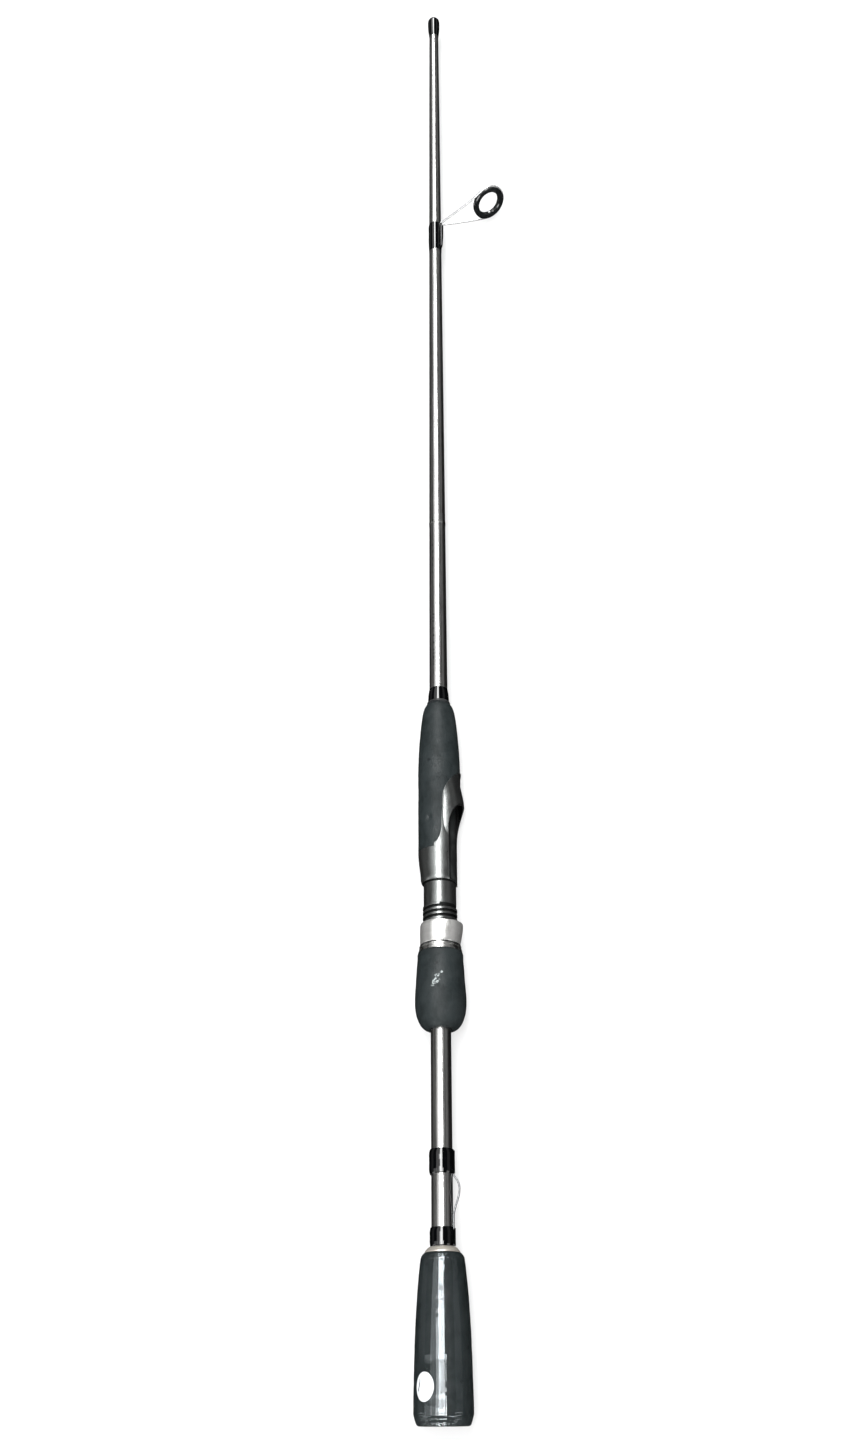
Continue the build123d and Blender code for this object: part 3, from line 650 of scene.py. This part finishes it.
def backdrop():
    """A pale dome round the floor, which only the camera sees."""
    mesh = bpy.data.meshes.new("studio_dome")
    bm = bmesh.new()
    bmesh.ops.create_uvsphere(bm, u_segments=48, v_segments=24, radius=8.9)
    bm.to_mesh(mesh)
    bm.free()
    dome = bpy.data.objects.new("studio_dome", mesh)
    bpy.context.scene.collection.objects.link(dome)
    dome.location = (0.5, 0.0, 0.0)
    paint = Finish("dome_paint", Roughness=0.9, Specular_IOR_Level=0.0)
    pale = paint.blend(paint.noise((0.5, 0.5, 0.5)), (0.84, 0.84, 0.84), (0.88, 0.88, 0.88))
    paint.colour((0.0, 0.0, 0.0, 1.0))
    paint.feed(paint.shader.inputs["Emission Color"], pale)
    paint.shader.inputs["Emission Strength"].default_value = 1.0
    mesh.materials.append(paint.material)
    dome.visible_glossy = False
    dome.visible_diffuse = False
    dome.visible_shadow = False
    return dome


def studio(floor_z):
    """A pale floor with a little light of its own, hidden from reflections, and the softboxes."""
    mesh = bpy.data.meshes.new("studio_floor")
    bm = bmesh.new()
    bmesh.ops.create_grid(bm, x_segments=2, y_segments=2, size=9.0)
    bm.to_mesh(mesh)
    bm.free()
    floor = bpy.data.objects.new("studio_floor", mesh)
    bpy.context.scene.collection.objects.link(floor)
    floor.location = (0.5, 0.0, floor_z)
    paint = Finish("floor_paint", Roughness=0.9, Specular_IOR_Level=0.1)
    pale = paint.blend(paint.noise((2.0, 2.0, 2.0)), (0.90, 0.90, 0.90), (0.93, 0.93, 0.93))
    paint.colour((0.24, 0.24, 0.24, 1.0))
    paint.feed(paint.shader.inputs["Emission Color"], pale)
    paint.shader.inputs["Emission Strength"].default_value = 0.72
    mesh.materials.append(paint.material)
    floor.visible_glossy = False
    backdrop()

    world = bpy.data.worlds.new("studio_world")
    bpy.context.scene.world = world
    world.use_nodes = True
    background = world.node_tree.nodes["Background"]
    background.inputs["Color"].default_value = (0.97, 0.98, 1.0, 1.0)
    background.inputs["Strength"].default_value = 0.05
    world.cycles_visibility.glossy = False

    def lamp(name, x_from, x_to, turn_from, turn_to, distance, spread, radiance):
        """A softbox whose angles, in degrees, count from the camera's, towards the guide side."""
        start = beside_rod(x_from, CAMERA_TURN + math.radians(turn_from), distance)
        end = beside_rod(x_to, CAMERA_TURN + math.radians(turn_to), distance)
        softbox(name, start, end, 2.0 * distance * math.tan(math.radians(spread)), radiance)

    lamp("long_strip", -0.6, 4.4, -7.0, -7.0, 1.40, 10.0, 11.5)
    lamp("left_softbox", -0.9, 4.6, -36.0, -36.0, 1.60, 15.0, 0.9)
    lamp("right_fill", -0.9, 4.6, 62.0, 62.0, 1.60, 13.0, 0.16)
    lamp("back_fill", -0.9, 4.6, -94.0, -94.0, 1.60, 13.0, 0.10)
    lamp("butt_left", -0.6, 0.16, -62.0, -62.0, 1.60, 18.0, 0.8)
    lamp("side_fill_right", -3.2, -0.3, 60.0, 60.0, 1.60, 14.0, 1.3)
    lamp("side_fill_left", -3.2, -0.3, -90.0, -90.0, 1.60, 14.0, 1.3)
    lamp("butt_softbox", -0.6, 0.34, -21.0, -18.0, 1.38, 8.0, 4.0)
    lamp("butt_strip", -0.6, 0.16, 8.0, 8.0, 1.38, 2.2, 11.0)
    left_end = Vector((-1.3, -0.9, 0.30))
    right_end = Vector((-1.3, 0.9, 0.30))
    softbox("end_panel", left_end, right_end, 0.5, 5.0, aim=Vector((0.0, 0.0, 0.1)))


def camera():
    """Above the butt, looking along the rod towards its tip."""
    tilt = math.radians(28.7)
    height = 0.70879
    roll = 0.00719
    towards_camera = Vector((0.0, -math.sin(CAMERA_TURN), math.cos(CAMERA_TURN)))
    along = Vector((1.0, 0.0, 0.0))
    forward = math.sin(tilt) * along - math.cos(tilt) * towards_camera
    up = math.cos(tilt) * along + math.sin(tilt) * towards_camera
    right = forward.cross(up)
    right, up = (right * math.cos(roll) - up * math.sin(roll), up * math.cos(roll) + right * math.sin(roll))
    data = bpy.data.cameras.new("studio_camera")
    data.sensor_width = 36.0
    data.lens = 33.75
    data.shift_x = -0.00465
    data.clip_start = 0.01
    obj = bpy.data.objects.new("studio_camera", data)
    bpy.context.scene.collection.objects.link(obj)
    turn = Matrix((right, up, -forward)).transposed().to_4x4()
    obj.matrix_world = Matrix.Translation(towards_camera * height + Vector((-0.0131, 0.0, 0.0))) @ turn
    bpy.context.scene.camera = obj


# ------------------------------------------------------------------- the rod

dress(blank_metal(), "blank_tube")
dress(inner_plastic("plug_foam", (0.10, 0.10, 0.09)), "blank_butt_plug")
dress(thread_wrap(), "ferrule_wrap", "keeper_wrap_rear", "keeper_wrap_front", "fore_grip_wrap", "guide_wrap")
dress(turned_metal("trim_metal", (0.74, 0.74, 0.72), (0.45, 0.45, 0.44), rough=0.2), "trim_band")
dress(champagne_check(), "butt_winding_check")
dress(label_paper(), "round_sticker")
dress(wire_steel("keeper_steel", (0.13, 0.135, 0.14), (0.20, 0.205, 0.21)), "hook_keeper")
dress(wire_steel("guide_steel", (0.62, 0.63, 0.64), (0.78, 0.78, 0.78), metal=0.6), "guide_frame")
dress(ring_ceramic(), "guide_ring")
dress(seat_paint(), "reel_seat_body")
arbor_plastic = inner_plastic("arbor_plastic", (0.20, 0.20, 0.19))
dress(arbor_plastic, "seat_arbor_rear", "seat_arbor_middle", "seat_arbor_front")

check_rubber = satin_plastic("check_rubber", (0.016, 0.017, 0.018), (0.035, 0.037, 0.038), rough=0.36)
saddle_plastic = satin_plastic("saddle_plastic", (0.010, 0.011, 0.011), (0.024, 0.026, 0.026))
liner_plastic = satin_plastic("liner_plastic", (0.008, 0.009, 0.009), (0.02, 0.021, 0.021))
nut_plastic = satin_plastic("nut_plastic", (0.010, 0.011, 0.011), (0.026, 0.028, 0.028))
dress(check_rubber, "fore_grip_check")
dress(saddle_plastic, "seat_saddle")
dress(liner_plastic, "sliding_hood_liner")
dress(nut_plastic, "locknut_core", "locknut_washer")

sleeve_metal = turned_metal("hood_polished", (0.95, 0.945, 0.92), (0.62, 0.61, 0.58),
                            rough=0.28, wear=0.25, metal=0.86)
collar_metal = turned_metal("collar_polished", (0.76, 0.76, 0.74), (0.42, 0.42, 0.40), rough=0.26, wear=0.3)
dress(sleeve_metal, "sliding_hood_sleeve")
dress(collar_metal, "locknut_collar")

# Each is its middle along the rod and round it, its half length and its slant.
SCRAPES = [
    (0.2112, 0.0004, 0.0034, 0.35),
    (0.2096, 0.0016, 0.0022, 0.95),
    (0.2131, 0.0026, 0.0012, 0.30),
    (0.2080, -0.0006, 0.0012, 0.10),
    (0.2149, 0.0040, 0.0008, 0.70),
]
FORE_DENTS = [
    (0.3068, -15.0, 0.0015, 0.0010),
    (0.3025, -12.0, 0.0024, 0.0003),
    (0.367, -8.0, 0.004, 0.00018),
    (0.345, 30.0, 0.006, 0.00012),
    (0.325, -60.0, 0.005, 0.0002),
]
REAR_DENTS = [(0.2085, 5.0, 0.0015, 0.0003), (0.2135, 8.0, 0.0012, 0.00025), (0.200, -50.0, 0.004, 0.0002)]
BUTT_DENTS = [(0.050, -40.0, 0.006, 0.0002), (0.030, 60.0, 0.007, 0.0002)]

foam_grip("fore_grip_foam", "fore_grip", "rod", eva_foam("eva_fore"), crisp=True, dents=FORE_DENTS)
foam_grip("rear_grip_foam", "rear_grip", "locknut", eva_foam("eva_rear", scuff=SCRAPES), dents=REAR_DENTS)
foam_grip("butt_grip_foam", "butt_grip", "rod", eva_foam("eva_butt", dust=0.2), dents=BUTT_DENTS)
film_sleeve("butt_film_skin", "butt_grip_film", "rod", shrink_film())

bpy.context.scene.view_settings.view_transform = "Standard"
camera()
studio(CAD_BOX[0][2] - 0.0002)
